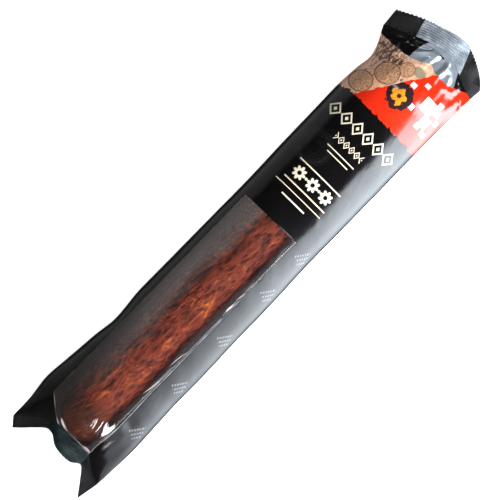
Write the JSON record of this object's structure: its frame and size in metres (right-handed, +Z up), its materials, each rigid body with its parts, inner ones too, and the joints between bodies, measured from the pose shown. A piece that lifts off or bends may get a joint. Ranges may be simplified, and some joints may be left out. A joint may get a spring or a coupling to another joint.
{
  "type": "cured sausage in film pack",
  "caption": "Long cured sausage in a flow-wrapped film pack with a clear window, a printed front and crimped zigzag-cut end seals.",
  "frame": {"origin": "middle of the pack's footprint, on the surface that it rests on", "axes": "+X along the sausage, from the clear window's end to the printed end; +Z up out of the front of the pack"},
  "size_m": [0.4372, 0.0866, 0.0461],
  "materials": {
    "cured_meat": "wrinkled casing, satin",
    "clip_metal": "satin",
    "printed_film": "gloss, black print",
    "clear_film": "gloss, clear film",
    "black_film": "gloss, black print",
    "sealed_film": "crimped, satin"
  },
  "bodies": {
    "root": {"sausage": "cured_meat", "casing_clip": "clip_metal", "front_film": "printed_film", "window_film": "clear_film", "back_film": "black_film", "back_fin": "black_film", "tail_seal": "sealed_film", "head_seal": "sealed_film"}
  },
  "joints": []
}
